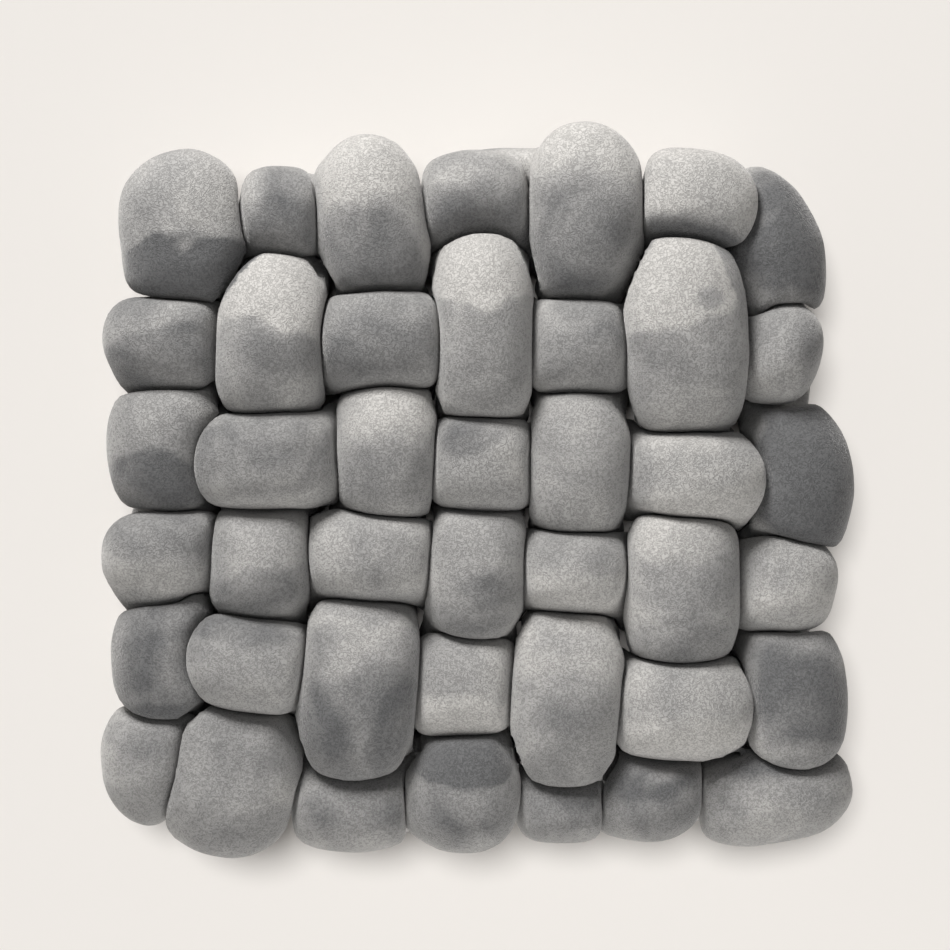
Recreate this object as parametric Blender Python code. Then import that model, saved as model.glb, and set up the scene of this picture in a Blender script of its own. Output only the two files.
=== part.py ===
"""Knot cushion: two long stuffed plush tubes woven over and under into one square pad.

The warp tube runs up and down in seven columns and the weft tube from side to
side in six rows, each turning back at the rim of the pad. The pad lies on its
back: +X is its right, +Y its top edge, +Z the way that its face looks, and the
origin is on the surface below its middle.

Each tube is worked out as a soft ball pushed along a route. Where two tubes
meet, the skin lies where both are squeezed alike.
"""

import bpy
import numpy as np

MM = 0.001

# Every crossing as it shows on the face: where its stuffed bulge lies from the
# middle, how wide and tall it is, how much higher than the others its crest
# stands (mm), how far it is turned to the left (degrees), and how square its
# low end (left or bottom) and its high end are: 2 is an ellipse.
CROSSING_COLUMNS = ("x", "y", "wide", "tall", "crest", "turn", "low_end", "high_end")
CROSSINGS = {
    "A1": (-175, 153, 80, 99, -4, 5, 2.8, 2.3),
    "A2": (-118, 163, 62, 62, -11, 0, 2.6, 3.0),
    "A3": (-63, 162, 63, 101, -3, 4, 3.2, 2.3),
    "A4": (0, 172, 70, 64, -11, 0, 2.5, 2.3),
    "A5": (67, 165, 73, 106, -2, 3, 3.2, 2.3),
    "A6": (132, 169, 72, 67, 0, -9, 3.2, 2.1),
    "A7": (174, 141, 71, 102, -14, 20, 1.8, 2.1),
    "B1": (-184, 89, 79, 58, -4, -3, 2.3, 3.2),
    "B2": (-122, 88, 67, 88, 7, 0, 2.8, 2.1),
    "B3": (-55, 87, 81, 62, 4, 0, 2.1, 2.6),
    "B4": (4, 93, 60, 106, 8, 0, 3.0, 2.1),
    "B5": (63, 84, 62, 60, 0, 0, 3.0, 2.2),
    "B6": (124, 93, 76, 114, 9, 2, 2.6, 2.2),
    "B7": (181, 80, 50, 55, -6, -15, 3.0, 2.7),
    "C1": (-186, 26, 73, 83, -8, 0, 2.4, 2.4),
    "C2": (-126, 17, 80, 61, 6, 5, 2.1, 3.2),
    "C3": (-53, 22, 64, 86, 3, 0, 2.4, 2.1),
    "C4": (2, 16, 59, 62, 2, -4, 3.0, 3.2),
    "C5": (61, 14, 65, 86, 2, 0, 2.2, 2.2),
    "C6": (132, 7, 74, 57, 6, -2, 3.2, 2.0),
    "C7": (191, -1, 72, 90, -9, 11, 1.8, 2.4),
    "D1": (-190, -39, 69, 51, -4, -3, 2.4, 3.2),
    "D2": (-128, -46, 62, 64, 1, -2, 2.2, 3.2),
    "D3": (-63, -40, 74, 58, 2, 0, 2.2, 2.9),
    "D4": (0, -51, 62, 74, 2, -2, 2.2, 3.0),
    "D5": (60, -49, 62, 53, 2, 0, 2.7, 2.2),
    "D6": (122, -61, 71, 99, 6, 0, 2.2, 2.8),
    "D7": (184, -57, 62, 60, -5, -12, 3.2, 2.8),
    "E1": (-186, -105, 66, 80, -5, 3, 2.2, 3.0),
    "E2": (-136, -104, 78, 60, 5, -7, 2.1, 3.0),
    "E3": (-71, -121, 76, 101, 7, -6, 2.1, 3.0),
    "E4": (-7, -118, 71, 68, -3, 0, 3.0, 3.0),
    "E5": (53, -127, 70, 98, 6, -4, 2.1, 3.0),
    "E6": (124, -129, 80, 66, 6, 0, 3.0, 2.0),
    "E7": (188, -131, 68, 92, -2, 3, 2.1, 3.0),
    "F1": (-188, -163, 76, 84, -9, 8, 2.3, 3.2),
    "F2": (-148, -173, 86, 94, -2, -13, 2.5, 3.2),
    "F3": (-74, -189, 77, 58, -8, 0, 2.8, 2.8),
    "F4": (-5, -180, 64, 75, 0, 0, 2.4, 3.2),
    "F5": (51, -189, 57, 48, -9, 0, 3.0, 3.0),
    "F6": (106, -185, 57, 54, -6, 0, 2.2, 3.2),
    "F7": (179, -181, 92, 62, -7, 8, 3.0, 2.3),
}
ROWS = "ABCDEF"
COLUMN_COUNT = 7

# How the tubes lie in the pad's depth.
MID_HEIGHT = 55 * MM  # the middle of the pad over the surface
LIFT = 28 * MM  # how far a tube's route climbs over the middle, or dips below it
STUFFING_HALF = 32 * MM  # half of a tube's depth
ROUNDNESS = 2.1  # of a tube's depth: 2 is a ball, more is a fuller pillow
HIDDEN_END = 2.8  # how square the bulges are that the face doesn't show

# Half sizes of a tube where it doesn't show on the face.
BACK_ACROSS = 31 * MM
BACK_ALONG = 38 * MM
BACK_SPARE = 6 * MM  # how far a back bulge may reach past the face's one
BACK_INSET = 5 * MM  # the bulges round the rim of the back lie this far in
WAIST = 34 * MM  # between two crossings
RIM_WAIST = 28 * MM
RIM_INSET = 9 * MM
TURN_OUT = 6 * MM  # how far a turn at the rim swings out past the crossings
TURN_THIN = 15 * MM
TURN_DEEP = 27 * MM

# Turns that show past the bulges, by the crossing that they leave: how far on
# towards the next crossing and how much further out they lie, and half their width (mm).
PROUD_TURNS = {
    "A4": (14, 19, 16),
    "A6": (0, 8, 24),
}
PLAIN_TURN = (0, 0, 27)

# The skins.
GAP = 3.0 * MM  # between two tubes that press on each other
RUN_GAP = 9 * MM  # between two runs of one tube, at their corners
CREASE_ROUND = 6 * MM
CREASE_EVEN = 4 * MM  # over how far the places where tubes meet are evened out
FLOOR_ROUND = 3 * MM
PRESS = 12.0  # how much harder a bulge presses for each metre that its crest is higher
END_PRESS = 0.25  # and how much harder a round end presses than a square one
WAIST_YIELD = 0.5  # how much less a tube presses where it dives under the next one
TURN_YIELD = 0.2  # and where it turns back at the rim
REACH = 1.7  # how far out a ball is felt, in its own radii
SAME_TUBE_APART = 0.11  # of route, beyond which a tube presses on itself

ROUTE_STEP = 3 * MM
GRID_STEP = 5.5 * MM
GRID_LOW = np.array((-0.240, -0.232, -0.008))
GRID_HIGH = np.array((0.240, 0.232, 0.132))
KEPT_TRIANGLES = 0.135
PINCH_ROUNDS = 3
PINCH_OPENING = 0.5 * MM
PRESSED_FLAT = 1.0 * MM  # what is lower than this lies flat on the surface

PLUSH_GREY = (0.33, 0.325, 0.32, 1.0)
PLUSH_ROUGHNESS = 0.95


def place_name(row, column):
    """A crossing's name, such as A1 for the top left one."""
    return ROWS[row] + str(column + 1)


def crossing(row, column):
    """One crossing's sizes by name, in metres and radians."""
    at = dict(zip(CROSSING_COLUMNS, CROSSINGS[place_name(row, column)]))
    for name in ("x", "y", "wide", "tall", "crest"):
        at[name] *= MM
    at["turn"] = np.radians(at["turn"])
    return at


def rim_side(row, column):
    """Which way the middle of the pad lies from a crossing on its rim."""
    inward_x = (column == 0) - (column == COLUMN_COUNT - 1)
    inward_y = (row == len(ROWS) - 1) - (row == 0)
    return inward_x, inward_y


def ball(x, y, z, halves, press=0.0, turn=0.0, ends=(HIDDEN_END, HIDDEN_END)):
    """One soft ball on a route."""
    return (x, y, MID_HEIGHT + z, *halves, turn, *ends, press)


def face_ball(row, column):
    """The bulge that shows on the face at a crossing."""
    at = crossing(row, column)
    return ball(
        at["x"], at["y"], LIFT + at["crest"],
        (at["wide"] / 2, at["tall"] / 2, STUFFING_HALF),
        PRESS * at["crest"], at["turn"], (at["low_end"], at["high_end"]),
    )


def back_ball(row, column, across_x):
    """The bulge of the tube that passes behind a crossing."""
    at = crossing(row, column)
    inward_x, inward_y = rim_side(row, column)
    along = min(BACK_ALONG, at["tall" if across_x else "wide"] / 2 + BACK_SPARE)
    half_x, half_y = (BACK_ACROSS, along) if across_x else (along, BACK_ACROSS)
    return ball(
        at["x"] + inward_x * BACK_INSET, at["y"] + inward_y * BACK_INSET, -LIFT,
        (half_x, half_y, STUFFING_HALF),
    )


def waist_ball(first, second, across_x):
    """The narrow stretch where a tube changes from face to back."""
    start, end = crossing(*first), crossing(*second)
    on_face = start if warp_is_over(*first) == across_x else end
    inward_x, inward_y = rim_side(*first)
    inward = (inward_x, 0) if across_x else (0, inward_y)
    half = RIM_WAIST if any(inward) else WAIST
    return ball(
        (start["x"] + end["x"]) / 2 + inward[0] * RIM_INSET,
        (start["y"] + end["y"]) / 2 + inward[1] * RIM_INSET,
        0.0, (half, half, half), PRESS * on_face["crest"] - WAIST_YIELD,
    )


def turn_ball(first, second, across_x):
    """The flattened turn at the rim, from one run of a tube to the next."""
    start, end = crossing(*first), crossing(*second)
    inward_x, inward_y = rim_side(*first)
    onward, out, half = np.array(PROUD_TURNS.get(place_name(*first), PLAIN_TURN)) * MM
    out += TURN_OUT
    middle_x, middle_y = (start["x"] + end["x"]) / 2, (start["y"] + end["y"]) / 2
    if across_x:
        return ball(
            middle_x + onward, middle_y - inward_y * out, 0.0, (half, TURN_THIN, TURN_DEEP), -TURN_YIELD,
        )
    return ball(
        middle_x - inward_x * out, middle_y - onward, 0.0, (TURN_THIN, half, TURN_DEEP), -TURN_YIELD,
    )


def warp_is_over(row, column):
    """Plain weave: the warp shows at every second crossing."""
    return (row + column) % 2 == 0


def runs(is_warp):
    """The crossings along a tube, run by run, every second run going back."""
    lines = COLUMN_COUNT if is_warp else len(ROWS)
    steps = len(ROWS) if is_warp else COLUMN_COUNT
    for line in range(lines):
        order = range(steps) if line % 2 == 0 else range(steps - 1, -1, -1)
        yield [(step, line) if is_warp else (line, step) for step in order]


def tube_balls(is_warp):
    """The soft balls that a whole tube's route is read from."""
    balls = []
    last = None
    for run in runs(is_warp):
        if last is not None:
            balls.append(turn_ball(last, run[0], is_warp))
        for index, place in enumerate(run):
            if index > 0:
                balls.append(waist_ball(run[index - 1], place, is_warp))
            over = warp_is_over(*place) == is_warp
            balls.append(face_ball(*place) if over else back_ball(*place, is_warp))
        last = run[-1]
    return np.array(balls)


def smooth_route(balls):
    """Balls a few millimetres apart on a smooth curve through the given ones."""
    spans = np.linalg.norm(np.diff(balls[:, :3], axis=0), axis=1)
    along = np.concatenate(([0.0], np.cumsum(spans)))
    slopes = np.diff(balls, axis=0) / spans[:, None]
    tangents = np.empty_like(balls)
    tangents[0], tangents[-1] = slopes[0], slopes[-1]
    before, after = spans[:-1, None], spans[1:, None]
    tangents[1:-1] = (slopes[:-1] * after + slopes[1:] * before) / (before + after)
    wanted = np.linspace(0.0, along[-1], int(along[-1] / ROUTE_STEP) + 1)
    piece = np.clip(np.searchsorted(along, wanted, side="right") - 1, 0, len(spans) - 1)
    length = spans[piece][:, None]
    part = ((wanted - along[piece]) / spans[piece])[:, None]
    return (
        (2 * part**3 - 3 * part**2 + 1) * balls[piece]
        + (part**3 - 2 * part**2 + part) * length * tangents[piece]
        + (3 * part**2 - 2 * part**3) * balls[piece + 1]
        + (part**3 - part**2) * length * tangents[piece + 1]
    )


def grid_axes():
    """The places of the grid's points along X, Y and Z."""
    return [
        np.arange(low, high + GRID_STEP, GRID_STEP)
        for low, high in zip(GRID_LOW, GRID_HIGH)
    ]


def press_on_grid(route, is_warp, axes, nearest=None):
    """How far out each grid point lies from a tube, 1 on its skin, how far out it is
    when the tube presses on another, and the nearest ball.

    With nearest given, only the balls that are far along the route from that
    one count, which is how a tube presses on its own next run.
    """
    distance = np.full([len(axis) for axis in axes], REACH)
    firmness = np.zeros(distance.shape)
    index = np.full(distance.shape, -1)
    apart = int(SAME_TUBE_APART / ROUTE_STEP)
    for number, place in enumerate(route):
        x, y, z, half_x, half_y, half_z, turn, low_end, high_end, press = place
        wide = REACH * max(half_x, half_y)
        window = tuple(
            slice(*np.searchsorted(axis, (middle - half, middle + half)))
            for axis, middle, half in zip(axes, (x, y, z), (wide, wide, REACH * half_z))
        )
        off_x = (axes[0][window[0]] - x)[:, None]
        off_y = (axes[1][window[1]] - y)[None, :]
        along_x = (off_x * np.cos(turn) + off_y * np.sin(turn)) / half_x
        along_y = (off_y * np.cos(turn) - off_x * np.sin(turn)) / half_y
        along_z = np.abs(axes[2][window[2]] - z) / half_z
        along = along_y if is_warp else along_x
        square = np.where(along > 0, high_end, low_end)
        firm = press + END_PRESS * (HIDDEN_END - square) * np.minimum(along**2, 1.0)
        plan = (np.abs(along_x) ** square + np.abs(along_y) ** square) ** (ROUNDNESS / square)
        out = (plan[:, :, None] + along_z**ROUNDNESS) ** (1 / ROUNDNESS)
        closer = out < distance[window]
        if nearest is not None:
            closer &= np.abs(nearest[window] - number) > apart
        distance[window][closer] = out[closer]
        firmness[window][closer] = np.broadcast_to(firm[:, :, None], out.shape)[closer]
        index[window][closer] = number
    return distance, distance - firmness, index


def soft_max(first, second, blend):
    """The larger of two fields, rounded where they cross."""
    overlap = np.maximum(blend - np.abs(first - second), 0.0)
    return np.maximum(first, second) + overlap**2 / (4 * blend)


def evened(field):
    """A field smoothed over a few millimetres, so that what it bounds has no corners."""
    field = field.copy()
    for axis in range(3):
        lines = np.moveaxis(field, axis, 0)
        for _ in range(round(2 * (CREASE_EVEN / GRID_STEP) ** 2)):
            lines[1:-1] = (lines[:-2] + 2 * lines[1:-1] + lines[2:]) / 4
    return field


def tube_distances(is_warp, axes):
    """How far out each grid point lies from a tube: plainly, as it presses, and its next run."""
    route = smooth_route(tube_balls(is_warp))
    own, pressing, nearest = press_on_grid(route, is_warp, axes)
    _, next_run, _ = press_on_grid(route, is_warp, axes, nearest)
    return own, pressing, next_run


def tube_field(own, pressing, next_run, other_tube, heights):
    """Below zero inside a tube: its skin, what presses on it, and the surface it lies on."""
    skin = (own - 1) * STUFFING_HALF
    contact = evened(pressing - other_tube) * STUFFING_HALF / 2 + GAP / 2
    side = (pressing - next_run) * STUFFING_HALF / 2 + RUN_GAP / 2
    squeezed = soft_max(skin, np.maximum(contact, side), CREASE_ROUND)
    return soft_max(squeezed, -heights[None, None, :], FLOOR_ROUND)


def open_pinches(field):
    """Takes out grid points that the skin would meet only across a grid square's diagonal."""
    for first, second in ((0, 1), (1, 2), (2, 0)) * PINCH_ROUNDS:
        inside = field < 0
        across = np.roll(inside, -1, first)
        beyond = np.roll(inside, -1, second)
        diagonal = np.roll(across, -1, second)
        pinched = (inside == diagonal) & (across == beyond) & (inside != across)
        field[pinched & inside] = PINCH_OPENING
        field[np.roll(pinched & across, 1, first)] = PINCH_OPENING
        field[np.roll(pinched & beyond, 1, second)] = PINCH_OPENING
        field[np.roll(pinched & diagonal, (1, 1), (first, second))] = PINCH_OPENING
    return field


def skin_mesh(field, axes):
    """Points and four-sided faces where the field crosses zero, facing out."""
    shape = np.array(field.shape)
    cell_of_corner = []
    points = []
    flipped = []
    for axis in range(3):
        low = np.moveaxis(field, axis, 0)[:-1]
        high = np.moveaxis(field, axis, 0)[1:]
        crossed = np.moveaxis((low < 0) != (high < 0), 0, axis)
        corner = np.argwhere(crossed)
        beyond = corner + np.eye(3, dtype=int)[axis]
        at_corner = field[tuple(corner.T)]
        at_beyond = field[tuple(beyond.T)]
        place = corner.astype(float)
        place[:, axis] += at_corner / (at_corner - at_beyond)
        steps = np.zeros((4, 3), dtype=int)
        steps[:, (axis + 1) % 3] = (0, 1, 1, 0)
        steps[:, (axis + 2) % 3] = (0, 0, 1, 1)
        cells = corner[:, None, :] - steps[None, :, :]
        cell_of_corner.append(np.ravel_multi_index(np.moveaxis(cells, 2, 0), shape))
        points.append(place)
        flipped.append(at_corner >= 0)
    cells = np.concatenate(cell_of_corner)
    used, faces = np.unique(cells, return_inverse=True)
    faces = faces.reshape(cells.shape)
    crossings = np.repeat(np.concatenate(points), 4, axis=0)
    count = np.bincount(faces.ravel())
    middles = np.stack(
        [np.bincount(faces.ravel(), weights=crossings[:, axis]) / count for axis in range(3)],
        axis=1,
    )
    flip = np.concatenate(flipped)
    faces[flip] = faces[flip, ::-1]
    origin = np.array([axis[0] for axis in axes])
    return origin + middles * GRID_STEP, faces


def lay_flat(mesh):
    """Moves the mesh's lowest points onto the surface."""
    for vertex in mesh.vertices:
        if vertex.co.z < PRESSED_FLAT:
            vertex.co.z = 0.0


def add_tube(name, points, faces, material):
    """One tube as a named object, thinned to fewer triangles."""
    mesh = bpy.data.meshes.new(name)
    mesh.from_pydata(points.tolist(), [], faces.tolist())
    mesh.shade_smooth()
    mesh.materials.append(material)
    lay_flat(mesh)
    tube = bpy.data.objects.new(name, mesh)
    bpy.context.collection.objects.link(tube)
    thinned = tube.modifiers.new("thinned", "DECIMATE")
    thinned.ratio = KEPT_TRIANGLES
    shown = tube.evaluated_get(bpy.context.evaluated_depsgraph_get())
    tube.data = bpy.data.meshes.new_from_object(shown)
    tube.modifiers.clear()
    lay_flat(tube.data)
    return tube


def plush(name):
    """Short dense plush in a warm mid grey."""
    material = bpy.data.materials.new(name)
    material.use_nodes = True
    shader = material.node_tree.nodes["Principled BSDF"]
    shader.inputs["Base Color"].default_value = PLUSH_GREY
    shader.inputs["Roughness"].default_value = PLUSH_ROUGHNESS
    shader.inputs["Metallic"].default_value = 0.0
    return material


def build():
    """The whole cushion."""
    for old in list(bpy.data.objects):
        bpy.data.objects.remove(old, do_unlink=True)
    axes = grid_axes()
    far = {"warp_tube": tube_distances(True, axes), "weft_tube": tube_distances(False, axes)}
    skins = {}
    for name, other in (("warp_tube", "weft_tube"), ("weft_tube", "warp_tube")):
        _, other_pressing, _ = far[other]
        field = tube_field(*far[name], other_pressing, axes[2])
        skins[name] = skin_mesh(open_pinches(field), axes)
    both = np.concatenate([points for points, _ in skins.values()])
    middle = (both.min(axis=0) + both.max(axis=0)) / 2 * (1, 1, 0)
    material = plush("plush")
    for name, (points, faces) in skins.items():
        add_tube(name, points - middle, faces, material)


build()
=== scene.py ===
"""Knot cushion: the finish of its two woven plush tubes, a pale floor, soft light and the camera.

Each tube is worked out again as a soft ball pushed along the same route as its
solid, on a finer grid, with the stuffing's lumps, the puckers and the pressed
places that the face shows. The plush is procedural.
"""

import math

import bpy
import numpy as np
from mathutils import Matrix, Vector


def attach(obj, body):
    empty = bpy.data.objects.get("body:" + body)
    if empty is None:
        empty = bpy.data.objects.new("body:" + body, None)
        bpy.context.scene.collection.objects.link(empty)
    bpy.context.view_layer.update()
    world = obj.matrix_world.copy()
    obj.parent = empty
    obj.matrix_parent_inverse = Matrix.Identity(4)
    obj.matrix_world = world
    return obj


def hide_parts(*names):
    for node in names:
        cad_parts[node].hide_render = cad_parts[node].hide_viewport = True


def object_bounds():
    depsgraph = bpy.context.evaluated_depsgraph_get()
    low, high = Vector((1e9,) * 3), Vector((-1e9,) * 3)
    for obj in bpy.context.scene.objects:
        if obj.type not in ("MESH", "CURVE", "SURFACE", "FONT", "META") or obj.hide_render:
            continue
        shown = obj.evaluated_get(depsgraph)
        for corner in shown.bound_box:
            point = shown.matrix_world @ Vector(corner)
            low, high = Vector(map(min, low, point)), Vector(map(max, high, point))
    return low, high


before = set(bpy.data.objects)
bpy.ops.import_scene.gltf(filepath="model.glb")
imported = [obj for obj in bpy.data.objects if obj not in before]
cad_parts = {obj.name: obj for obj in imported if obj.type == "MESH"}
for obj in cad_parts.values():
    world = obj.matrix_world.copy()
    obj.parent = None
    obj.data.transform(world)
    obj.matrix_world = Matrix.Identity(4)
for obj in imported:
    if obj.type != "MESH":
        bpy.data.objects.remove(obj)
CAD_BOX = [list(corner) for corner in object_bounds()]

MM = 0.001

# Every crossing as it shows on the face: where its stuffed bulge lies from the
# middle, how wide and tall it is, how much higher than the others its crest
# stands (mm), how far it is turned to the left (degrees), and how square its
# low end (left or bottom) and its high end are: 2 is an ellipse.
CROSSING_COLUMNS = ("x", "y", "wide", "tall", "crest", "turn", "low_end", "high_end")
CROSSINGS = {
    "A1": (-175, 153, 80, 99, -4, 5, 2.8, 2.3),
    "A2": (-118, 163, 62, 62, -11, 0, 2.6, 3.0),
    "A3": (-63, 162, 63, 101, -3, 4, 3.2, 2.3),
    "A4": (0, 172, 70, 64, -11, 0, 2.5, 2.3),
    "A5": (67, 165, 73, 106, -2, 3, 3.2, 2.3),
    "A6": (132, 169, 72, 67, 0, -9, 3.2, 2.1),
    "A7": (174, 141, 71, 102, -14, 20, 1.8, 2.1),
    "B1": (-184, 89, 79, 58, -4, -3, 2.3, 3.2),
    "B2": (-122, 88, 67, 88, 7, 0, 2.8, 2.1),
    "B3": (-55, 87, 81, 62, 4, 0, 2.1, 2.6),
    "B4": (4, 93, 60, 106, 8, 0, 3.0, 2.1),
    "B5": (63, 84, 62, 60, 0, 0, 3.0, 2.2),
    "B6": (124, 93, 76, 114, 9, 2, 2.6, 2.2),
    "B7": (181, 80, 50, 55, -6, -15, 3.0, 2.7),
    "C1": (-186, 26, 73, 83, -8, 0, 2.4, 2.4),
    "C2": (-126, 17, 80, 61, 6, 5, 2.1, 3.2),
    "C3": (-53, 22, 64, 86, 3, 0, 2.4, 2.1),
    "C4": (2, 16, 59, 62, 2, -4, 3.0, 3.2),
    "C5": (61, 14, 65, 86, 2, 0, 2.2, 2.2),
    "C6": (132, 7, 74, 57, 6, -2, 3.2, 2.0),
    "C7": (191, -1, 72, 90, -9, 11, 1.8, 2.4),
    "D1": (-190, -39, 69, 51, -4, -3, 2.4, 3.2),
    "D2": (-128, -46, 62, 64, 1, -2, 2.2, 3.2),
    "D3": (-63, -40, 74, 58, 2, 0, 2.2, 2.9),
    "D4": (0, -51, 62, 74, 2, -2, 2.2, 3.0),
    "D5": (60, -49, 62, 53, 2, 0, 2.7, 2.2),
    "D6": (122, -61, 71, 99, 6, 0, 2.2, 2.8),
    "D7": (184, -57, 62, 60, -5, -12, 3.2, 2.8),
    "E1": (-186, -105, 66, 80, -5, 3, 2.2, 3.0),
    "E2": (-136, -104, 78, 60, 5, -7, 2.1, 3.0),
    "E3": (-71, -121, 76, 101, 7, -6, 2.1, 3.0),
    "E4": (-7, -118, 71, 68, -3, 0, 3.0, 3.0),
    "E5": (53, -127, 70, 98, 6, -4, 2.1, 3.0),
    "E6": (124, -129, 80, 66, 6, 0, 3.0, 2.0),
    "E7": (188, -131, 68, 92, -2, 3, 2.1, 3.0),
    "F1": (-188, -163, 76, 84, -9, 8, 2.3, 3.2),
    "F2": (-148, -173, 86, 94, -2, -13, 2.5, 3.2),
    "F3": (-74, -189, 77, 58, -8, 0, 2.8, 2.8),
    "F4": (-5, -180, 64, 75, 0, 0, 2.4, 3.2),
    "F5": (51, -189, 57, 48, -9, 0, 3.0, 3.0),
    "F6": (106, -185, 57, 54, -6, 0, 2.2, 3.2),
    "F7": (179, -181, 92, 62, -7, 8, 3.0, 2.3),
}
ROWS = "ABCDEF"
COLUMN_COUNT = 7

# How the tubes lie in the pad's depth.
MID_HEIGHT = 55 * MM  # the middle of the pad over the surface
LIFT = 28 * MM  # how far a tube's route climbs over the middle, or dips below it
STUFFING_HALF = 32 * MM  # half of a tube's depth
ROUNDNESS = 2.1  # of a tube's depth: 2 is a ball, more is a fuller pillow
HIDDEN_END = 2.8  # how square the bulges are that the face doesn't show

# Half sizes of a tube where it doesn't show on the face.
BACK_ACROSS = 31 * MM
BACK_ALONG = 38 * MM
BACK_SPARE = 6 * MM  # how far a back bulge may reach past the face's one
BACK_INSET = 5 * MM  # the bulges round the rim of the back lie this far in
WAIST = 34 * MM  # between two crossings
RIM_WAIST = 28 * MM
RIM_INSET = 9 * MM
TURN_OUT = 6 * MM  # how far a turn at the rim swings out past the crossings
TURN_THIN = 15 * MM
TURN_DEEP = 27 * MM

# Turns that show past the bulges, by the crossing that they leave: how far on
# towards the next crossing and how much further out they lie, and half their width (mm).
PROUD_TURNS = {
    "A4": (14, 19, 16),
    "A6": (0, 8, 24),
}
PLAIN_TURN = (0, 0, 27)

# The skins.
GAP = 0.8 * MM  # between two tubes that press on each other
RUN_GAP = 3.5 * MM  # between two runs of one tube, at their corners
CREASE_ROUND = 4.5 * MM
CREASE_EVEN = 4 * MM  # over how far the places where tubes meet are evened out
FLOOR_ROUND = 3 * MM
PRESS = 12.0  # how much harder a bulge presses for each metre that its crest is higher
END_PRESS = 0.25  # and how much harder a round end presses than a square one
WAIST_YIELD = 0.5  # how much less a tube presses where it dives under the next one
TURN_YIELD = 0.2  # and where it turns back at the rim
REACH = 1.7  # how far out a ball is felt, in its own radii
SAME_TUBE_APART = 0.11  # of route, beyond which a tube presses on itself

ROUTE_STEP = 3 * MM
GRID_STEP = 3.3 * MM
GRID_LOW = np.array((-0.240, -0.232, -0.008))
GRID_HIGH = np.array((0.240, 0.232, 0.132))
PINCH_ROUNDS = 3
PINCH_OPENING = 0.5 * MM
PRESSED_FLAT = 0.6 * MM  # what is lower than this lies flat on the surface

# The stuffing's lumps, as waves through the tubes: longest and shortest
# wavelength, how far the skin rises, and how many waves make them up.
LUMPS = (
    (80 * MM, 45 * MM, 0.4 * MM, 14),
    (34 * MM, 18 * MM, 0.12 * MM, 22),
)
LUMP_SEED = 7

# Puckers and pressed places on the face: where, how long and wide, how deep
# (mm), and which way they run (degrees from +X).
DENT_COLUMNS = ("x", "y", "long", "wide", "deep", "turn")
DENTS = {
    "C1_pucker": (-208, 13, 10, 4, 1.6, 75),
    "C2_pucker": (-152, 10, 12, 4, 1.4, 60),
    "F2_pucker": (-176, -195, 16, 4, 1.8, 60),
    "F2_pucker_low": (-170, -203, 14, 3, 1.5, 45),
    "B2_press": (-122, 100, 26, 10, 1.2, 20),
    "E3_swirl": (-74, -142, 20, 9, 1.0, 10),
    "A5_press": (60, 175, 24, 9, 1.0, 100),
    "A1_press": (-172, 140, 30, 8, 1.0, 8),
    "B4_press": (0, 112, 24, 9, 1.0, 15),
    "B6_press": (128, 120, 28, 10, 1.2, -15),
    "D6_press": (118, -48, 28, 9, 1.0, 15),
    "E5_press": (50, -112, 26, 9, 1.0, -20),
}

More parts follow.
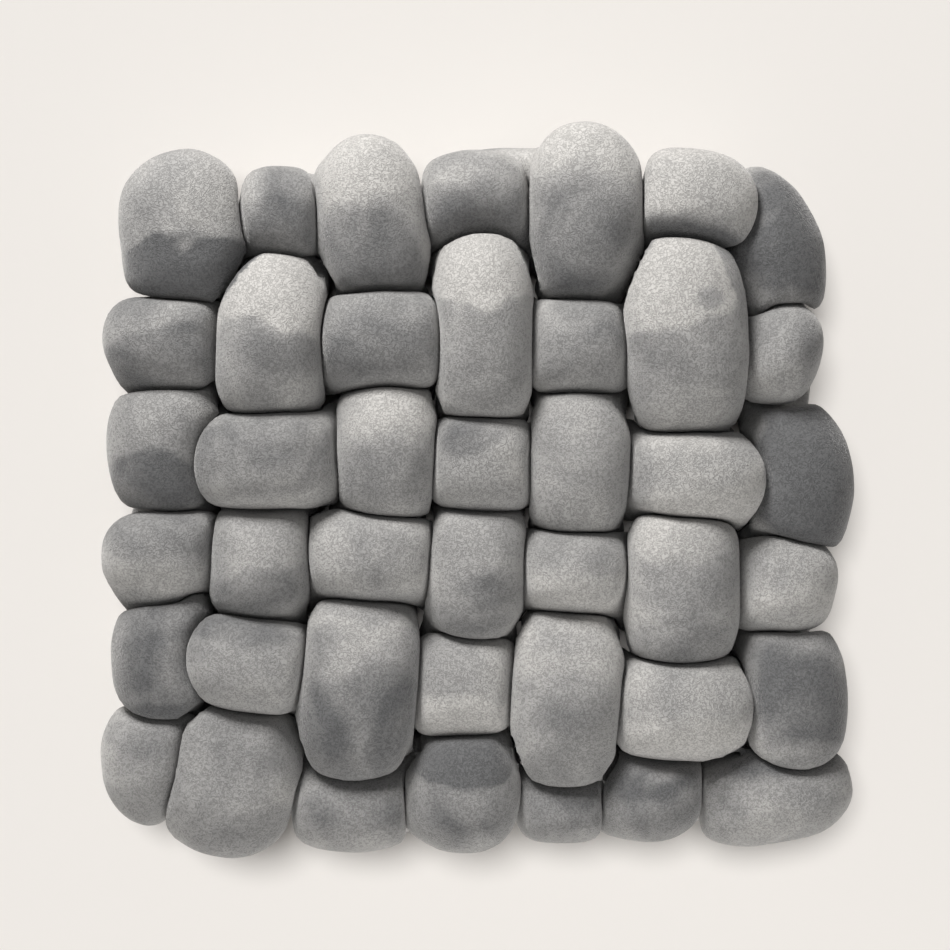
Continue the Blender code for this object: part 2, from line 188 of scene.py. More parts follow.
# Where the face is coloured light or dark, by the crossing that it is on, partly brushed nap and partly
# painted light on the bulges' tops and painted shade on their lower sides: where, how long and wide
# (mm), how light (1) or dark (-1), which way the patch runs (degrees from +X), and how softly it fades,
# in its own half sizes.
NAP_AND_SHADE_COLUMNS = ("x", "y", "long", "wide", "tone", "turn", "edge")
NAP_AND_SHADE_PATCHES = {
    "A1_top": (-174, 182, 96, 60, -0.1, 5, 0.8),
    "A1_low": (-170, 121, 112, 58, -1.2, 3, 0.16),
    "A2_low": (-116, 146, 84, 48, -0.5, 0, 0.8),
    "A3_top": (-66, 196, 92, 50, 0.7, 5, 0.8),
    "A3_low": (-60, 140, 66, 60, -0.6, -5, 0.3),
    "A4": (-2, 148, 104, 54, -0.95, 0, 0.8),
    "A5_top": (62, 204, 96, 50, 0.5, 0, 0.8),
    "A5_low": (62, 146, 64, 84, -0.7, -5, 0.8),
    "A6_top": (136, 182, 112, 46, 0.6, -8, 0.8),
    "A6_low": (118, 142, 84, 30, -1.3, -10, 0.8),
    "A7": (182, 150, 64, 88, -1.1, 10, 0.8),
    "A7_low": (180, 108, 44, 24, 0.4, -10, 0.8),
    "B1_top": (-186, 108, 110, 28, -0.3, 0, 0.8),
    "B1_low": (-186, 74, 84, 40, -0.5, 0, 0.3),
    "B2_top": (-124, 122, 96, 62, 0.9, -10, 0.2),
    "B2_middle": (-116, 82, 52, 30, -0.35, 0, 0.8),
    "B3": (-62, 92, 90, 54, -0.45, 10, 0.8),
    "B4_top": (2, 138, 84, 54, 0.9, 0, 0.25),
    "B5": (62, 84, 60, 50, -0.3, 0, 0.8),
    "B6_top": (114, 126, 110, 66, 0.8, 10, 0.25),
    "B6_spot": (134, 112, 18, 14, -0.7, -20, 0.5),
    "B7": (188, 84, 60, 50, -0.3, 0, 0.8),
    "B7_low": (186, 64, 44, 22, 0.15, 0, 0.8),
    "C1_low": (-190, 2, 62, 40, -0.7, -15, 0.25),
    "C2": (-126, 26, 100, 50, -0.3, 0, 0.8),
    "C2_low": (-126, -2, 76, 26, 0.3, 5, 0.8),
    "C3_top": (-52, 52, 88, 40, 0.6, 0, 0.8),
    "C3_low": (-53, 6, 80, 34, -0.4, 0, 0.8),
    "C4_top": (-8, 34, 46, 28, -0.45, 0, 0.4),
    "C4_right": (17, 26, 30, 44, 0.2, 10, 0.8),
    "C5_top": (70, 38, 40, 30, 0.2, 15, 0.8),
    "C6": (132, 10, 76, 52, 0.35, -3, 0.8),
    "C6_low": (134, -14, 96, 28, 0.6, 0, 0.8),
    "C7": (198, 8, 76, 96, -1.7, 8, 0.8),
    "D1_top": (-190, -24, 96, 30, -0.6, 0, 0.8),
    "D1_low": (-190, -54, 66, 24, 0.3, 0, 0.8),
    "D2_low": (-124, -62, 84, 34, -0.5, 5, 0.2),
    "D4_top": (0, -30, 52, 28, -0.2, 0, 0.8),
    "D4_low": (0, -68, 56, 36, -0.4, 8, 0.8),
    "D5_top": (60, -34, 58, 22, -0.3, 0, 0.8),
    "D5_low": (60, -64, 84, 30, 0.6, 0, 0.8),
    "D6_top": (122, -20, 96, 40, 0.5, 0, 0.8),
    "D6_low": (122, -92, 60, 36, -0.4, 0, 0.8),
    "D7": (192, -50, 60, 52, 0.1, 0, 0.8),
    "D7_low": (188, -72, 54, 24, 0.2, 0, 0.8),
    "E1_top": (-186, -76, 90, 32, -0.5, 0, 0.8),
    "E1": (-192, -118, 64, 56, -0.6, 20, 0.8),
    "E1_low": (-190, -138, 70, 22, -0.5, 0, 0.8),
    "E2_top": (-138, -80, 80, 24, -0.6, -7, 0.8),
    "E2": (-132, -110, 78, 52, 0.25, -7, 0.8),
    "E3_low": (-70, -142, 90, 72, -0.6, 0, 0.4),
    "E4": (-7, -112, 70, 50, 0.2, 0, 0.8),
    "E4_low": (-7, -140, 94, 36, 0.9, 0, 0.8),
    "E5_top": (50, -90, 84, 44, 0.4, -10, 0.8),
    "E5_middle": (54, -124, 60, 36, -0.35, 0, 0.8),
    "E6": (128, -124, 84, 56, 0.15, 5, 0.8),
    "E6_low": (126, -150, 108, 34, 0.6, 0, 0.8),
    "E7": (194, -118, 72, 92, -0.9, 5, 0.8),
    "E7_low": (190, -162, 50, 26, 0.4, 0, 0.8),
    "F1_top": (-190, -146, 60, 26, -0.4, 0, 0.8),
    "F2": (-150, -172, 80, 76, -0.35, -13, 0.8),
    "F3": (-74, -186, 72, 32, -0.4, 0, 0.8),
    "F4_top": (-10, -152, 100, 42, -1.4, 0, 0.4),
    "F4": (-5, -184, 62, 44, -0.5, 0, 0.8),
    "F5": (48, -186, 56, 44, -0.45, 0, 0.8),
    "F6_top": (100, -168, 66, 34, -0.5, -5, 0.8),
    "F6": (106, -190, 54, 40, -0.6, 0, 0.8),
    "F7_top": (184, -156, 80, 22, -1.0, 5, 0.8),
    "F7_low": (180, -202, 110, 32, 0.1, 8, 0.8),
}
NAP_AND_SHADE_WOBBLE = ((60 * MM, 20 * MM, 0.12, 24),)
NAP_AND_SHADE_SEED = 11

# The camera, straight over the face at the distance of a product photo. The offset is how
# far the middle of the photo lies from the middle of the face, in pixels.
PHOTO_PIXELS = 950
PHOTO_SCALE = 0.598 * MM  # a pixel at the height of the face's bulges
PHOTO_OFFSET = Vector((-1.5, 13.5)) * PHOTO_SCALE
CAMERA_DISTANCE = 1.5
SENSOR = 36.0

FLOOR_SIZE = 8.0
FLOOR_COLOUR = (0.86, 0.825, 0.785, 1.0)
FLOOR_ROUGHNESS = 0.9

# The plush's pile: strokes that turn from patch to patch, and curled partings between them.
STROKE_LONG = 1.9 * MM
STROKE_WIDE = 0.6 * MM
STROKE_DIRECTIONS = (  # turns about X, Y and Z
    (0.0, 0.0, 1.2),
    (0.3, 0.5, -0.5),
    (0.6, -0.4, 2.4),
    (-0.5, 0.3, 0.3),
    (0.2, 0.2, 1.8),
)
STROKE_DETAIL = 2.0
STROKE_ROUGHNESS = 0.55
STROKE_PATCHES = 190.0  # patches of strokes to a metre
STROKE_PATCHES_STEP = 20  # how many more for each further direction
STROKE_PATCH_EDGE = (0.44, 0.56)  # of the noise, between two patches
CURL_SIZE = 1.8 * MM
CURL_TWIST = 0.9
CURL_EDGE = 0.15
CURL_SHARE = 0.5
PILE_BUMP = 0.6
PILE_HEIGHT = 0.9 * MM
PILE_RANGE = (0.3, 0.8)  # of the pile's height, from its foot to its tip
# Painted shade at the pile's foot and painted highlight at its tips.
PILE_SHADE = (0.79, 1.22)  # how dark its foot is and how light its tip

# How the face is coloured by its brushed nap together with painted light and shade: its colours by how
# light it is, and where that comes from.
NAP_AND_SHADE_ATTRIBUTE = "nap"
NAP_AND_PAINTED_SHADE = (0.112, 0.113, 0.116, 1.0)
NAP_AND_PAINTED_SHADE_AT = 0.26
NAP_MIDDLE = (0.285, 0.281, 0.277, 1.0)
NAP_MIDDLE_AT = 0.5
NAP_AND_PAINTED_LIGHT = (0.42, 0.41, 0.397, 1.0)
NAP_AND_PAINTED_LIGHT_AT = 0.66
NAP_FROM_NOISE = 0.55
NAP_AND_SHADE_FROM_PATCHES = 0.26
NAP_NOISE = {"Scale": 19.0, "Detail": 3.0, "Roughness": 0.5, "Distortion": 0.8}

PLUSH_FINISH = {
    "Roughness": 0.9,
    "Specular IOR Level": 0.2,
    "Sheen Weight": 0.5,
    "Sheen Roughness": 0.4,
    "Sheen Tint": (0.95, 0.94, 0.93, 1.0),
}

# Lights: place, size, power and colour. They light the cushion alone.
LIGHTS = {
    "key": ((-0.7, 1.85, 1.05), 0.8, 74.0, (1.0, 0.988, 0.97)),
    "fill": ((0.3, 0.1, 2.4), 1.6, 5.0, (0.98, 0.99, 1.0)),
    "bounce": ((0.1, -1.0, 0.75), 1.0, 10.5, (1.0, 0.985, 0.96)),
}
# The floor's own light, from nearly overhead, so that it stays evenly pale.
FLOOR_SUN_POWER = 2.68
FLOOR_SUN_TURN = (-10, -6)  # degrees about X and Y
FLOOR_SUN_SOFTNESS = 22  # degrees across
WORLD_COLOUR = (1.0, 0.985, 0.965, 1.0)
WORLD_STRENGTH = 0.16


def place_name(row, column):
    """A crossing's name, such as A1 for the top left one."""
    return ROWS[row] + str(column + 1)


def crossing(row, column):
    """One crossing's sizes by name, in metres and radians."""
    at = dict(zip(CROSSING_COLUMNS, CROSSINGS[place_name(row, column)]))
    for name in ("x", "y", "wide", "tall", "crest"):
        at[name] *= MM
    at["turn"] = np.radians(at["turn"])
    return at


def rim_side(row, column):
    """Which way the middle of the pad lies from a crossing on its rim."""
    inward_x = (column == 0) - (column == COLUMN_COUNT - 1)
    inward_y = (row == len(ROWS) - 1) - (row == 0)
    return inward_x, inward_y


def ball(x, y, z, halves, press=0.0, turn=0.0, ends=(HIDDEN_END, HIDDEN_END)):
    """One soft ball on a route."""
    return (x, y, MID_HEIGHT + z, *halves, turn, *ends, press)


def face_ball(row, column):
    """The bulge that shows on the face at a crossing."""
    at = crossing(row, column)
    return ball(
        at["x"], at["y"], LIFT + at["crest"],
        (at["wide"] / 2, at["tall"] / 2, STUFFING_HALF),
        PRESS * at["crest"], at["turn"], (at["low_end"], at["high_end"]),
    )


def back_ball(row, column, across_x):
    """The bulge of the tube that passes behind a crossing."""
    at = crossing(row, column)
    inward_x, inward_y = rim_side(row, column)
    along = min(BACK_ALONG, at["tall" if across_x else "wide"] / 2 + BACK_SPARE)
    half_x, half_y = (BACK_ACROSS, along) if across_x else (along, BACK_ACROSS)
    return ball(
        at["x"] + inward_x * BACK_INSET, at["y"] + inward_y * BACK_INSET, -LIFT,
        (half_x, half_y, STUFFING_HALF),
    )


def waist_ball(first, second, across_x):
    """The narrow stretch where a tube changes from face to back."""
    start, end = crossing(*first), crossing(*second)
    on_face = start if warp_is_over(*first) == across_x else end
    inward_x, inward_y = rim_side(*first)
    inward = (inward_x, 0) if across_x else (0, inward_y)
    half = RIM_WAIST if any(inward) else WAIST
    return ball(
        (start["x"] + end["x"]) / 2 + inward[0] * RIM_INSET,
        (start["y"] + end["y"]) / 2 + inward[1] * RIM_INSET,
        0.0, (half, half, half), PRESS * on_face["crest"] - WAIST_YIELD,
    )


def turn_ball(first, second, across_x):
    """The flattened turn at the rim, from one run of a tube to the next."""
    start, end = crossing(*first), crossing(*second)
    inward_x, inward_y = rim_side(*first)
    onward, out, half = np.array(PROUD_TURNS.get(place_name(*first), PLAIN_TURN)) * MM
    out += TURN_OUT
    middle_x, middle_y = (start["x"] + end["x"]) / 2, (start["y"] + end["y"]) / 2
    if across_x:
        return ball(
            middle_x + onward, middle_y - inward_y * out, 0.0, (half, TURN_THIN, TURN_DEEP), -TURN_YIELD,
        )
    return ball(
        middle_x - inward_x * out, middle_y - onward, 0.0, (TURN_THIN, half, TURN_DEEP), -TURN_YIELD,
    )


def warp_is_over(row, column):
    """Plain weave: the warp shows at every second crossing."""
    return (row + column) % 2 == 0


def runs(is_warp):
    """The crossings along a tube, run by run, every second run going back."""
    lines = COLUMN_COUNT if is_warp else len(ROWS)
    steps = len(ROWS) if is_warp else COLUMN_COUNT
    for line in range(lines):
        order = range(steps) if line % 2 == 0 else range(steps - 1, -1, -1)
        yield [(step, line) if is_warp else (line, step) for step in order]


def tube_balls(is_warp):
    """The soft balls that a whole tube's route is read from."""
    balls = []
    last = None
    for run in runs(is_warp):
        if last is not None:
            balls.append(turn_ball(last, run[0], is_warp))
        for index, place in enumerate(run):
            if index > 0:
                balls.append(waist_ball(run[index - 1], place, is_warp))
            over = warp_is_over(*place) == is_warp
            balls.append(face_ball(*place) if over else back_ball(*place, is_warp))
        last = run[-1]
    return np.array(balls)


def smooth_route(balls):
    """Balls a few millimetres apart on a smooth curve through the given ones."""
    spans = np.linalg.norm(np.diff(balls[:, :3], axis=0), axis=1)
    along = np.concatenate(([0.0], np.cumsum(spans)))
    slopes = np.diff(balls, axis=0) / spans[:, None]
    tangents = np.empty_like(balls)
    tangents[0], tangents[-1] = slopes[0], slopes[-1]
    before, after = spans[:-1, None], spans[1:, None]
    tangents[1:-1] = (slopes[:-1] * after + slopes[1:] * before) / (before + after)
    wanted = np.linspace(0.0, along[-1], int(along[-1] / ROUTE_STEP) + 1)
    piece = np.clip(np.searchsorted(along, wanted, side="right") - 1, 0, len(spans) - 1)
    length = spans[piece][:, None]
    part = ((wanted - along[piece]) / spans[piece])[:, None]
    return (
        (2 * part**3 - 3 * part**2 + 1) * balls[piece]
        + (part**3 - 2 * part**2 + part) * length * tangents[piece]
        + (3 * part**2 - 2 * part**3) * balls[piece + 1]
        + (part**3 - part**2) * length * tangents[piece + 1]
    )


def grid_axes():
    """The places of the grid's points along X, Y and Z."""
    return [
        np.arange(low, high + GRID_STEP, GRID_STEP)
        for low, high in zip(GRID_LOW, GRID_HIGH)
    ]


def press_on_grid(route, is_warp, axes, nearest=None):
    """How far out each grid point lies from a tube, 1 on its skin, how far out it is
    when the tube presses on another, and the nearest ball.

    With nearest given, only the balls that are far along the route from that
    one count, which is how a tube presses on its own next run.
    """
    distance = np.full([len(axis) for axis in axes], REACH)
    firmness = np.zeros(distance.shape)
    index = np.full(distance.shape, -1)
    apart = int(SAME_TUBE_APART / ROUTE_STEP)
    for number, place in enumerate(route):
        x, y, z, half_x, half_y, half_z, turn, low_end, high_end, press = place
        wide = REACH * max(half_x, half_y)
        window = tuple(
            slice(*np.searchsorted(axis, (middle - half, middle + half)))
            for axis, middle, half in zip(axes, (x, y, z), (wide, wide, REACH * half_z))
        )
        off_x = (axes[0][window[0]] - x)[:, None]
        off_y = (axes[1][window[1]] - y)[None, :]
        along_x = (off_x * np.cos(turn) + off_y * np.sin(turn)) / half_x
        along_y = (off_y * np.cos(turn) - off_x * np.sin(turn)) / half_y
        along_z = np.abs(axes[2][window[2]] - z) / half_z
        along = along_y if is_warp else along_x
        square = np.where(along > 0, high_end, low_end)
        firm = press + END_PRESS * (HIDDEN_END - square) * np.minimum(along**2, 1.0)
        plan = (np.abs(along_x) ** square + np.abs(along_y) ** square) ** (ROUNDNESS / square)
        out = (plan[:, :, None] + along_z**ROUNDNESS) ** (1 / ROUNDNESS)
        closer = out < distance[window]
        if nearest is not None:
            closer &= np.abs(nearest[window] - number) > apart
        distance[window][closer] = out[closer]
        firmness[window][closer] = np.broadcast_to(firm[:, :, None], out.shape)[closer]
        index[window][closer] = number
    return distance, distance - firmness, index


def soft_max(first, second, blend):
    """The larger of two fields, rounded where they cross."""
    overlap = np.maximum(blend - np.abs(first - second), 0.0)
    return np.maximum(first, second) + overlap**2 / (4 * blend)


def evened(field):
    """A field smoothed over a few millimetres, so that what it bounds has no corners."""
    field = field.copy()
    for axis in range(3):
        lines = np.moveaxis(field, axis, 0)
        for _ in range(round(2 * (CREASE_EVEN / GRID_STEP) ** 2)):
            lines[1:-1] = (lines[:-2] + 2 * lines[1:-1] + lines[2:]) / 4
    return field


def tube_distances(is_warp, axes):
    """How far out each grid point lies from a tube: plainly, as it presses, and its next run."""
    route = smooth_route(tube_balls(is_warp))
    own, pressing, nearest = press_on_grid(route, is_warp, axes)
    _, next_run, _ = press_on_grid(route, is_warp, axes, nearest)
    return own, pressing, next_run


def tube_field(own, pressing, next_run, other_tube, relief, heights):
    """Below zero inside a tube: its skin, what presses on it, and the surface it lies on."""
    skin = (own - 1) * STUFFING_HALF + relief
    contact = evened(pressing - other_tube) * STUFFING_HALF / 2 + GAP / 2
    side = (pressing - next_run) * STUFFING_HALF / 2 + RUN_GAP / 2
    squeezed = soft_max(skin, np.maximum(contact, side), CREASE_ROUND)
    return soft_max(squeezed, -heights[None, None, :], FLOOR_ROUND)


def open_pinches(field):
    """Takes out grid points that the skin would meet only across a grid square's diagonal."""
    for first, second in ((0, 1), (1, 2), (2, 0)) * PINCH_ROUNDS:
        inside = field < 0
        across = np.roll(inside, -1, first)
        beyond = np.roll(inside, -1, second)
        diagonal = np.roll(across, -1, second)
        pinched = (inside == diagonal) & (across == beyond) & (inside != across)
        field[pinched & inside] = PINCH_OPENING
        field[np.roll(pinched & across, 1, first)] = PINCH_OPENING
        field[np.roll(pinched & beyond, 1, second)] = PINCH_OPENING
        field[np.roll(pinched & diagonal, (1, 1), (first, second))] = PINCH_OPENING
    return field


def skin_mesh(field, axes):
    """Points and four-sided faces where the field crosses zero, facing out."""
    shape = np.array(field.shape)
    cell_of_corner = []
    points = []
    flipped = []
    for axis in range(3):
        low = np.moveaxis(field, axis, 0)[:-1]
        high = np.moveaxis(field, axis, 0)[1:]
        crossed = np.moveaxis((low < 0) != (high < 0), 0, axis)
        corner = np.argwhere(crossed)
        beyond = corner + np.eye(3, dtype=int)[axis]
        at_corner = field[tuple(corner.T)]
        at_beyond = field[tuple(beyond.T)]
        place = corner.astype(float)
        place[:, axis] += at_corner / (at_corner - at_beyond)
        steps = np.zeros((4, 3), dtype=int)
        steps[:, (axis + 1) % 3] = (0, 1, 1, 0)
        steps[:, (axis + 2) % 3] = (0, 0, 1, 1)
        cells = corner[:, None, :] - steps[None, :, :]
        cell_of_corner.append(np.ravel_multi_index(np.moveaxis(cells, 2, 0), shape))
        points.append(place)
        flipped.append(at_corner >= 0)
    cells = np.concatenate(cell_of_corner)
    used, faces = np.unique(cells, return_inverse=True)
    faces = faces.reshape(cells.shape)
    crossings = np.repeat(np.concatenate(points), 4, axis=0)
    count = np.bincount(faces.ravel())
    middles = np.stack(
        [np.bincount(faces.ravel(), weights=crossings[:, axis]) / count for axis in range(3)],
        axis=1,
    )
    flip = np.concatenate(flipped)
    faces[flip] = faces[flip, ::-1]
    origin = np.array([axis[0] for axis in axes])
    return origin + middles * GRID_STEP, faces


def lay_flat(mesh):
    """Moves the mesh's lowest points onto the surface."""
    for vertex in mesh.vertices:
        if vertex.co.z < PRESSED_FLAT:
            vertex.co.z = 0.0


def waves(points, layers, seed):
    """Soft random waves through space, the same each run, at X, Y and Z places."""
    random = np.random.default_rng(seed)
    height = np.zeros(np.broadcast(*points).shape)
    for longest, shortest, rise, count in layers:
        for _ in range(count):
            direction = random.normal(size=3)
            direction *= 2 * np.pi / random.uniform(shortest, longest) / np.linalg.norm(direction)
            phase = sum(part * along for part, along in zip(points, direction))
            height += rise * np.sqrt(2 / count) * np.sin(phase + random.uniform(0, 2 * np.pi))
    return height


def nearest_bulge(x, y, is_warp):
    """The name of the crossing where a tube shows nearest to each place."""
    names = []
    far = []
    for row in range(len(ROWS)):
        for column in range(COLUMN_COUNT):
            if warp_is_over(row, column) == is_warp:
                at = crossing(row, column)
                names.append(place_name(row, column))
                far.append(((x - at["x"]) / at["wide"]) ** 2 + ((y - at["y"]) / at["tall"]) ** 2)
    return np.array(names)[np.argmin(far, axis=0)]


def nap_and_shade_of_face(points, is_warp):
    """How light (above 0) or dark each point of a tube's skin is coloured: brushed nap with painted
    light and shade.
    """
    x, y, z = points.T
    wobble = waves((x, y, z), NAP_AND_SHADE_WOBBLE, NAP_AND_SHADE_SEED)
    bulge = nearest_bulge(x, y, is_warp)
    tone = np.zeros(len(points))
    for name, values in NAP_AND_SHADE_PATCHES.items():
        patch = dict(zip(NAP_AND_SHADE_COLUMNS, values))
        turn = np.radians(patch["turn"])
        off_x, off_y = x - patch["x"] * MM, y - patch["y"] * MM
        along = (off_x * np.cos(turn) + off_y * np.sin(turn)) / (patch["long"] * MM / 2)
        across = (off_y * np.cos(turn) - off_x * np.sin(turn)) / (patch["wide"] * MM / 2)
        out = np.sqrt(along**2 + across**2) + wobble
        inside = np.clip((1 - out) / patch["edge"] + 0.5, 0.0, 1.0) * (bulge == name[:2])
        tone += patch["tone"] * inside**2 * (3 - 2 * inside)
    on_face = np.clip((z - MID_HEIGHT / 2) / MID_HEIGHT, 0.0, 1.0)
    return tone * on_face**2 * (3 - 2 * on_face)


def dents(axes):
    """How deep the face is pressed in above each place of the pad."""
    depth = np.zeros((len(axes[0]), len(axes[1])))
    for values in DENTS.values():
        dent = dict(zip(DENT_COLUMNS, values))
        turn = np.radians(dent["turn"])
        off_x = (axes[0] - dent["x"] * MM)[:, None]
        off_y = (axes[1] - dent["y"] * MM)[None, :]
        along = (off_x * np.cos(turn) + off_y * np.sin(turn)) / (dent["long"] * MM / 2)
        across = (off_y * np.cos(turn) - off_x * np.sin(turn)) / (dent["wide"] * MM / 2)
        depth += dent["deep"] * MM * np.exp(-(along**2) - across**2)
    over_middle = (axes[2] > MID_HEIGHT).astype(float)
    return depth[:, :, None] * over_middle[None, None, :]


def node_maker(material):
    """A function that adds a shader node, sets its fields and links its inputs."""
    tree = material.node_tree

    def make(kind, inputs=None, **fields):
        node = tree.nodes.new(kind)
        for name, value in fields.items():
            setattr(node, name, value)
        for name, value in (inputs or {}).items():
            socket = node.inputs[name]
            if isinstance(value, bpy.types.NodeSocket):
                tree.links.new(value, socket)
            else:
                socket.default_value = value
        return node

    return make


def new_material(name):
    """An empty node material with its output and its Principled shader."""
    material = bpy.data.materials.new(name)
    material.use_nodes = True
    shader = material.node_tree.nodes["Principled BSDF"]
    return material, shader


def brushed(make, place, direction, long, wide):
    """Fine strokes of pile that lie one way."""
    turned = make(
        "ShaderNodeMapping", {"Vector": place, "Rotation": direction, "Scale": (long, wide, wide)},
        vector_type="TEXTURE",
    )
    noise = {"Scale": 1.0, "Detail": STROKE_DETAIL, "Roughness": STROKE_ROUGHNESS}
    return make(
        "ShaderNodeTexNoise", {"Vector": turned.outputs["Vector"], **noise},
    ).outputs["Fac"]


def curls(make, place):
    """Thin curved partings between the tips of the pile."""
    field = make(
        "ShaderNodeTexNoise",
        {"Vector": place, "Scale": 1 / CURL_SIZE, "Detail": 0.0, "Distortion": CURL_TWIST},
    )
    off_middle = make("ShaderNodeMath", {0: field.outputs["Fac"], 1: 0.5}, operation="SUBTRACT")
    away = make("ShaderNodeMath", {0: off_middle.outputs["Value"]}, operation="ABSOLUTE")
    return make(
        "ShaderNodeMapRange", {"Value": away.outputs["Value"], "From Min": 0.0, "From Max": CURL_EDGE},
        interpolation_type="SMOOTHSTEP",
    ).outputs["Result"]


def blend_values(make, factor, first, second):
    """Two grey values mixed by a third."""
    mixed = make("ShaderNodeMix", {"Factor": factor}, data_type="FLOAT")
    tree = mixed.id_data
    tree.links.new(first, mixed.inputs[2])
    tree.links.new(second, mixed.inputs[3])
    return mixed.outputs[0]


def plush_material(name):
    """Short dense grey plush: strokes of pile that turn from patch to patch, brushed light and dark,
    with painted light and shade on the bulges and painted shade at the pile's foot.
    """
    material, shader = new_material(name)
    make = node_maker(material)
    place = make("ShaderNodeTexCoord").outputs["Object"]
    strokes = [
        brushed(make, place, direction, STROKE_LONG, STROKE_WIDE) for direction in STROKE_DIRECTIONS
    ]
    pile = strokes[0]
    for number, stroke in enumerate(strokes[1:]):
        patch = make(
            "ShaderNodeTexNoise",
            {"Vector": place, "Scale": STROKE_PATCHES + STROKE_PATCHES_STEP * number, "Detail": 1.0},
        )
        sharp = make(
            "ShaderNodeMapRange",
            {
                "Value": patch.outputs["Fac"],
                "From Min": STROKE_PATCH_EDGE[0],
                "From Max": STROKE_PATCH_EDGE[1],
            },
            interpolation_type="SMOOTHSTEP",
        )
        pile = blend_values(make, sharp.outputs["Result"], pile, stroke)
    pile = blend_values(make, CURL_SHARE, pile, curls(make, place))

    nap = make("ShaderNodeTexNoise", {"Vector": place, **NAP_NOISE})
    # Brushed nap together with painted light on the bulges' tops and painted shade on their lower sides.
    brushed_nap_and_shade = make("ShaderNodeAttribute", attribute_name=NAP_AND_SHADE_ATTRIBUTE)
    spread = make(
        "ShaderNodeMath", {0: nap.outputs["Fac"], 1: NAP_FROM_NOISE, 2: 0.5 - NAP_FROM_NOISE / 2},
        operation="MULTIPLY_ADD",
    )
    both = make(
        "ShaderNodeMath",
        {0: brushed_nap_and_shade.outputs["Fac"], 1: NAP_AND_SHADE_FROM_PATCHES, 2: spread.outputs["Value"]},
        operation="MULTIPLY_ADD",
    )
    tone = make("ShaderNodeValToRGB", {"Fac": both.outputs["Value"]})
    ramp = tone.color_ramp
    ramp.elements[0].position, ramp.elements[0].color = NAP_AND_PAINTED_SHADE_AT, NAP_AND_PAINTED_SHADE
    ramp.elements[1].position, ramp.elements[1].color = NAP_AND_PAINTED_LIGHT_AT, NAP_AND_PAINTED_LIGHT
    middle = ramp.elements.new(NAP_MIDDLE_AT)
    middle.color = NAP_MIDDLE
    # The pile's strokes in colour: painted shade at the foot of the pile and painted highlight on its
    # tips.
    pile_tone_and_shade = make(
        "ShaderNodeMapRange",
        {
            "Value": pile,
            "From Min": PILE_RANGE[0], "From Max": PILE_RANGE[1],
            "To Min": PILE_SHADE[0], "To Max": PILE_SHADE[1],
        },
    )
    links = material.node_tree.links
    coloured = make("ShaderNodeVectorMath", {0: tone.outputs["Color"]}, operation="SCALE")
    links.new(pile_tone_and_shade.outputs["Result"], coloured.inputs["Scale"])
    bump = make(
        "ShaderNodeBump", {"Height": pile, "Strength": PILE_BUMP, "Distance": PILE_HEIGHT},
    )
    links.new(coloured.outputs["Vector"], shader.inputs["Base Color"])
    links.new(bump.outputs["Normal"], shader.inputs["Normal"])
    for socket, value in PLUSH_FINISH.items():
        shader.inputs[socket].default_value = value
    return material


def add_plush_tube(name, node, points, faces, material):
    """One tube of the visual model in the place of its solid."""
    mesh = bpy.data.meshes.new(name)
    mesh.from_pydata(points.tolist(), [], faces.tolist())
    mesh.shade_smooth()
    mesh.materials.append(material)
    # Brushed nap together with painted light on the bulges' tops and painted shade on their lower sides,
    # for the plush's colour.
    nap = mesh.attributes.new(NAP_AND_SHADE_ATTRIBUTE, "FLOAT", "POINT")
    nap.data.foreach_set("value", nap_and_shade_of_face(points, node == "warp_tube").astype(np.float32))
    lay_flat(mesh)
    tube = bpy.data.objects.new(name, mesh)
    bpy.context.collection.objects.link(tube)
    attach(tube, "root")
    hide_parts(node)


def add_cushion():
    """Both tubes, pressed into each other."""
    axes = grid_axes()
    far = {"warp_tube": tube_distances(True, axes), "weft_tube": tube_distances(False, axes)}
    relief = waves(np.meshgrid(*axes, indexing="ij", sparse=True), LUMPS, LUMP_SEED) + dents(axes)
    skins = {}
    for node, other in (("warp_tube", "weft_tube"), ("weft_tube", "warp_tube")):
        _, other_pressing, _ = far[other]
        field = tube_field(*far[node], other_pressing, relief, axes[2])
        skins[node] = skin_mesh(open_pinches(field), axes)
    both = np.concatenate([points for points, _ in skins.values()])
    cad_middle = (np.array(CAD_BOX[0]) + CAD_BOX[1]) / 2
    shift = (cad_middle - (both.min(axis=0) + both.max(axis=0)) / 2) * (1, 1, 0)
    material = plush_material("plush")
    for node, (points, faces) in skins.items():
        add_plush_tube(node.replace("tube", "plush"), node, points + shift, faces, material)
    return Vector(shift)


def add_floor():
    """A plain pale floor."""
    material, shader = new_material("floor")
    shader.inputs["Base Color"].default_value = FLOOR_COLOUR
    shader.inputs["Roughness"].default_value = FLOOR_ROUGHNESS
    half = FLOOR_SIZE / 2
    mesh = bpy.data.meshes.new("floor")
    corners = [(-half, -half, 0), (half, -half, 0), (half, half, 0), (-half, half, 0)]
    mesh.from_pydata(corners, [], [(0, 1, 2, 3)])
    mesh.materials.append(material)
    floor = bpy.data.objects.new("floor", mesh)
    bpy.context.collection.objects.link(floor)
    return floor


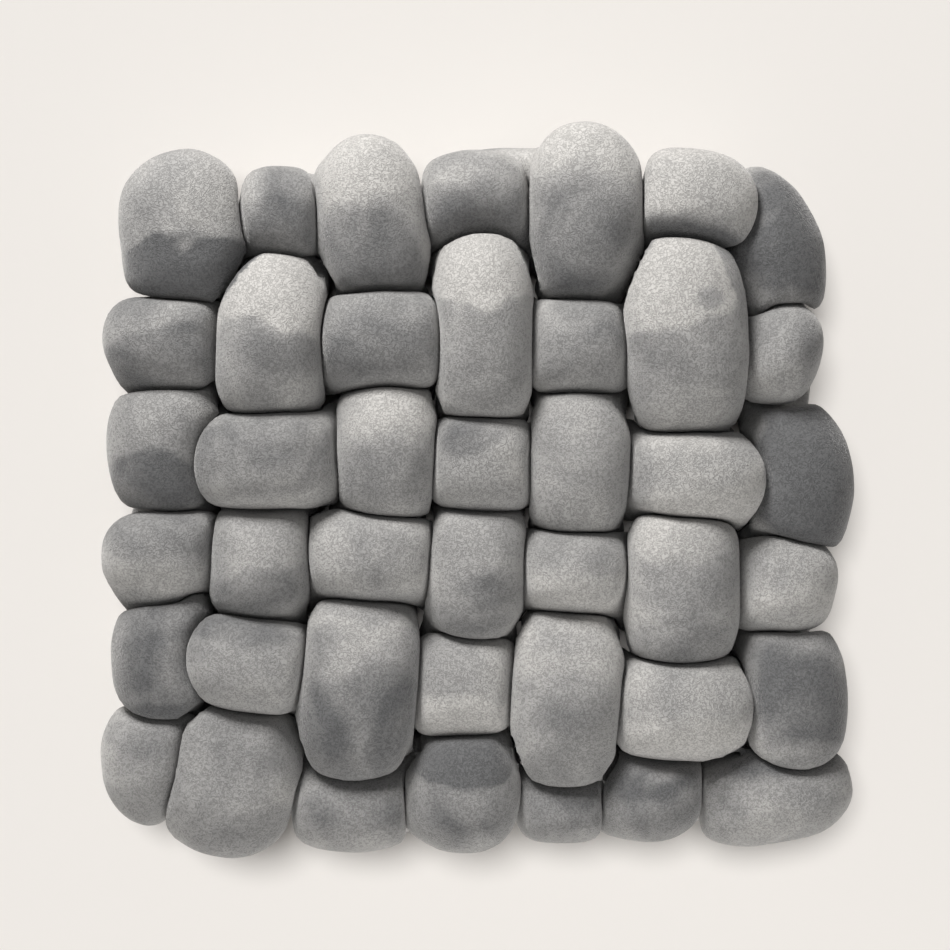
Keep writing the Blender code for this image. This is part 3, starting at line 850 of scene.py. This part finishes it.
def add_lamp(name, light, place, target):
    """A light as an object that looks at a point."""
    lamp = bpy.data.objects.new(name, light)
    lamp.location = place
    lamp.rotation_euler = (Vector(target) - Vector(place)).to_track_quat("-Z", "Y").to_euler()
    bpy.context.collection.objects.link(lamp)
    return lamp


def linked_collection(name, floor, state):
    """A collection that has a lamp light the floor alone, or all but the floor."""
    collection = bpy.data.collections.new(name)
    collection.objects.link(floor)
    collection.collection_objects[0].light_linking.link_state = state
    return collection


def add_lights(floor):
    """Daylight from above the photo's top left, a soft fill, and the floor's own light."""
    middle = (0.0, 0.0, MID_HEIGHT)
    all_but_floor = linked_collection("all_but_floor", floor, "EXCLUDE")
    for name, (place, size, watts, colour) in LIGHTS.items():
        light = bpy.data.lights.new(name, "AREA")
        light.shape = "SQUARE"
        light.size = size
        light.energy = watts
        light.color = colour
        add_lamp(name, light, place, middle).light_linking.receiver_collection = all_but_floor
    sun = bpy.data.lights.new("floor_sun", "SUN")
    sun.energy = FLOOR_SUN_POWER
    sun.angle = math.radians(FLOOR_SUN_SOFTNESS)
    lamp = bpy.data.objects.new("floor_sun", sun)
    lamp.rotation_euler = [math.radians(turn) for turn in FLOOR_SUN_TURN] + [0.0]
    bpy.context.collection.objects.link(lamp)
    lamp.light_linking.receiver_collection = linked_collection("floor_alone", floor, "INCLUDE")
    world = bpy.data.worlds.new("studio")
    world.use_nodes = True
    sky = world.node_tree.nodes["Background"]
    sky.inputs["Color"].default_value = WORLD_COLOUR
    sky.inputs["Strength"].default_value = WORLD_STRENGTH
    bpy.context.scene.world = world


def add_camera(shift):
    """The photo's view: straight at the face, moved as the tubes are."""
    camera = bpy.data.cameras.new("camera")
    camera.sensor_width = SENSOR
    distance = CAMERA_DISTANCE - LIFT
    camera.lens = SENSOR * distance / (PHOTO_PIXELS * PHOTO_SCALE)
    eye = bpy.data.objects.new("camera", camera)
    eye.location = (PHOTO_OFFSET.x, PHOTO_OFFSET.y, MID_HEIGHT + CAMERA_DISTANCE)
    eye.location += shift
    bpy.context.collection.objects.link(eye)
    bpy.context.scene.camera = eye
    bpy.context.scene.view_settings.view_transform = "Standard"


moved = add_cushion()
add_lights(add_floor())
add_camera(moved)
